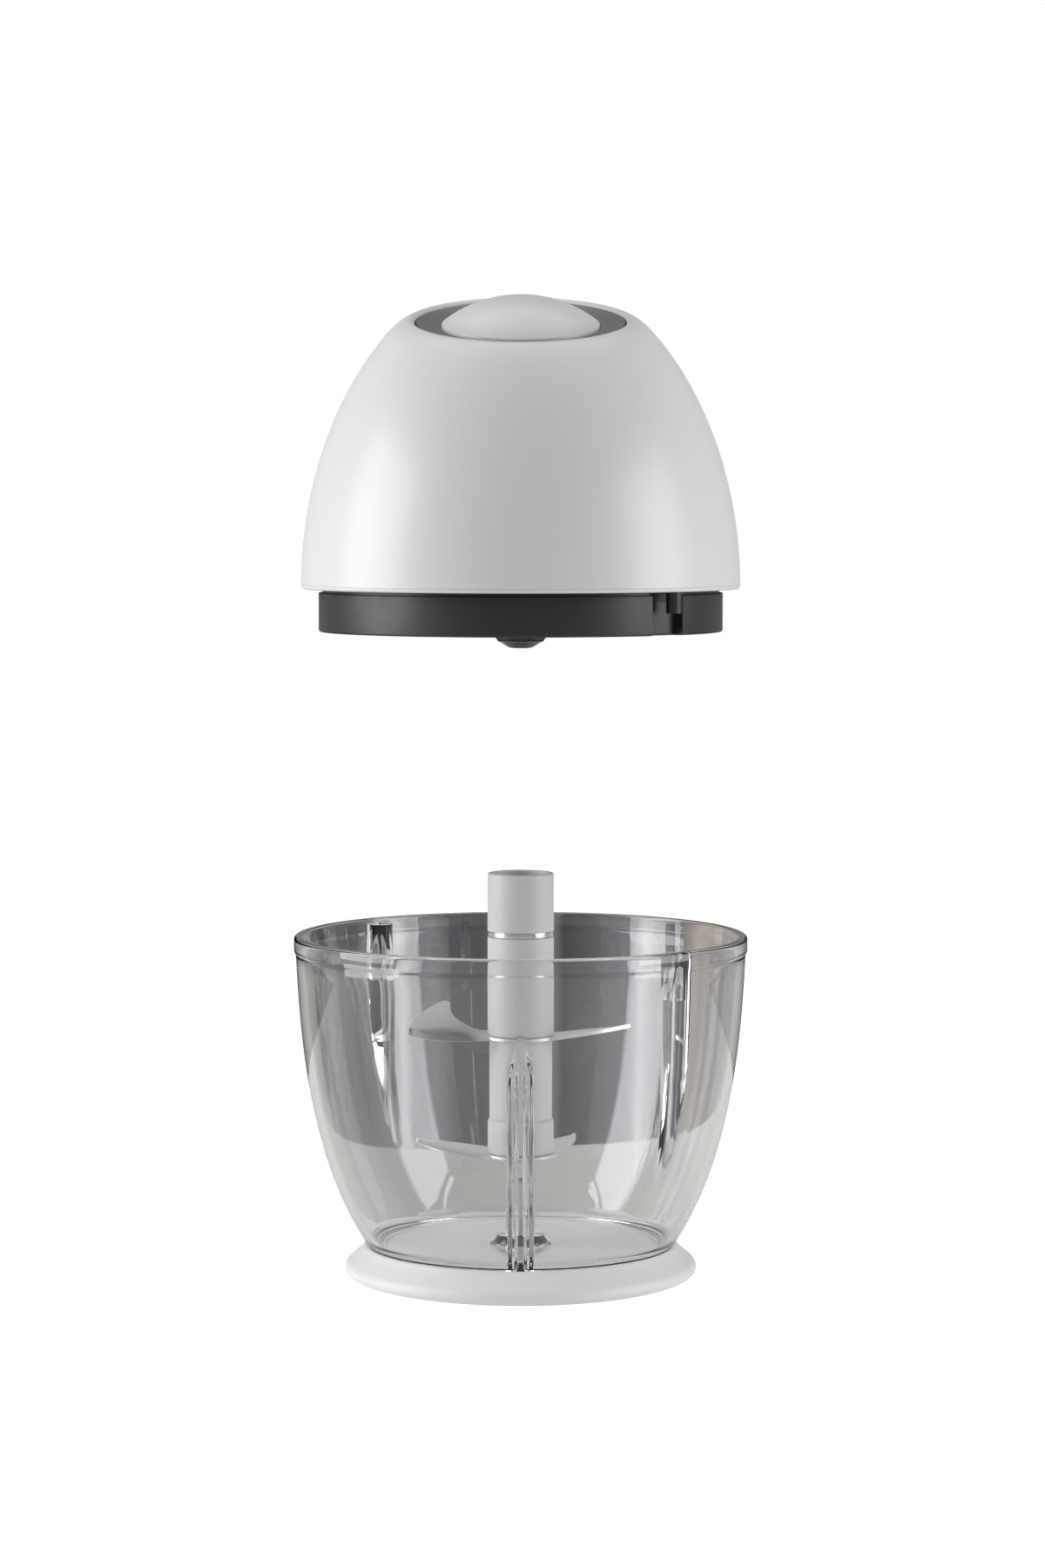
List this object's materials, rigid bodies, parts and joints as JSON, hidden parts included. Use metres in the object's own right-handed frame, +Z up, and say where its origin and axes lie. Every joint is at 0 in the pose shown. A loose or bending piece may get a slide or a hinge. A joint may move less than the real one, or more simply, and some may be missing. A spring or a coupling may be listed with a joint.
{
  "type": "food processor",
  "caption": "Hand-sized chopper with a clear bowl on a wide base, a lift-out blade unit and a lift-off domed motor head with a top push button.",
  "frame": {"origin": "centre of the base's underside, on the table plane", "axes": "+Z up along the bowl's axis, -Y towards the front rib, +X to the right seen from the front"},
  "size_m": [0.1506, 0.1506, 0.326],
  "materials": {
    "clear_bowl": "clear moulded plastic",
    "steel": "bright turned steel",
    "blade_steel": "ground stainless strip",
    "white_base": "satin moulded plastic",
    "white_gloss": "gloss moulded plastic",
    "warm_grey": "matt moulded plastic",
    "bush_plastic": "natural acetal",
    "dark_plastic": "satin moulded plastic",
    "silver_plastic": "satin silver-grey paint on plastic",
    "rubber": "matt rubber",
    "lamination": "stacked electrical steel",
    "copper": "enamelled copper wire",
    "bracket_metal": "pressed plate",
    "brass": "drawn brass",
    "carbon": "pressed carbon",
    "red_plastic": "moulded plastic"
  },
  "bodies": {
    "bowl_base": {"bowl": "clear_bowl", "bowl_pin": "steel", "base_ring": "white_base", "base_grip": "rubber"},
    "bush": {"blade_bush": "bush_plastic"},
    "blades": {"hub_core": "warm_grey", "hub_sleeve": "warm_grey", "hub_spacer": "warm_grey", "hub_collar": "warm_grey", "hub_band": "steel", "upper_blade": "blade_steel", "lower_blade": "blade_steel"},
    "head": {"dome_shell": "white_gloss", "collar": "dark_plastic", "base_plate": "dark_plastic", "top_dish": "silver_plastic", "cord_gland": "rubber", "gearbox_housing": "bush_plastic", "ring_gear": "bush_plastic", "gearbox_cover": "bush_plastic", "output_bush": "brass", "motor_stator": "lamination", "field_coils": "copper", "motor_bracket": "bracket_metal", "lower_bearing": "steel", "upper_bearing": "steel", "brush_holders": "brass", "brushes": "carbon", "brush_springs": "steel", "switch_body": "dark_plastic", "switch_cradle": "dark_plastic", "motor_mounts": "rubber", "case_screws": "steel", "gearbox_screws": "steel", "motor_screws": "steel", "lock_pins": "dark_plastic", "button_spring": "steel"},
    "button": {"button_cap": "white_gloss", "button_clip": "steel"},
    "plunger": {"switch_plunger": "red_plastic"},
    "rotor": {"motor_shaft": "steel", "sun_pinion": "steel", "armature_core": "lamination", "armature_winding": "copper", "commutator": "copper", "fan": "bush_plastic"},
    "carrier": {"planet_carrier": "bush_plastic", "drive_spigot": "dark_plastic"},
    "planet_1": {"planet_gear_1": "bush_plastic"},
    "planet_2": {"planet_gear_2": "bush_plastic"},
    "planet_3": {"planet_gear_3": "bush_plastic"}
  },
  "joints": [
    {"name": "blade_lift", "type": "slide", "parent": "bowl_base", "child": "bush", "axis": [0, 0, 1], "range_m": [-0.024, 0]},
    {"name": "blade_spin", "type": "hinge", "parent": "bush", "child": "blades", "pos_m": [0, 0, 0.06], "axis": [0, 0, 1], "continuous": true},
    {"name": "head_lift", "type": "slide", "parent": "bush", "child": "head", "axis": [0, 0, 1], "range_m": [-0.0904, 0]},
    {"name": "button_press", "type": "slide", "parent": "head", "child": "button", "axis": [0, 0.2419, -0.9703], "range_m": [0, 0.003], "stiffness_N_per_m": 1500, "springref_m": -0.004, "deforming": ["button_spring"]},
    {"name": "switch_press", "type": "slide", "parent": "head", "child": "plunger", "axis": [0, 0.2419, -0.9703], "range_m": [0, 0.003]},
    {"name": "rotor_spin", "type": "hinge", "parent": "head", "child": "rotor", "pos_m": [0, 0, 0.2587], "axis": [0, 0, 1], "continuous": true},
    {"name": "output_spin", "type": "hinge", "parent": "head", "child": "carrier", "pos_m": [0, 0, 0.2287], "axis": [0, 0, 1], "continuous": true},
    {"name": "planet_1_spin", "type": "hinge", "parent": "carrier", "child": "planet_1", "pos_m": [0.0162, 0, 0.2387], "axis": [0, 0, 1], "continuous": true},
    {"name": "planet_2_spin", "type": "hinge", "parent": "carrier", "child": "planet_2", "pos_m": [-0.0081, 0.01403, 0.2387], "axis": [0, 0, 1], "continuous": true},
    {"name": "planet_3_spin", "type": "hinge", "parent": "carrier", "child": "planet_3", "pos_m": [-0.0081, -0.01403, 0.2387], "axis": [0, 0, 1], "continuous": true}
  ],
  "couplings": [
    {"joint": "output_spin", "follows": "rotor_spin", "ratio": 0.16667},
    {"joint": "blade_spin", "follows": "rotor_spin", "ratio": 0.16667},
    {"joint": "switch_press", "follows": "button_press", "ratio": 1},
    {"joint": "planet_1_spin", "follows": "rotor_spin", "ratio": -0.41667},
    {"joint": "planet_2_spin", "follows": "rotor_spin", "ratio": -0.41667},
    {"joint": "planet_3_spin", "follows": "rotor_spin", "ratio": -0.41667}
  ]
}
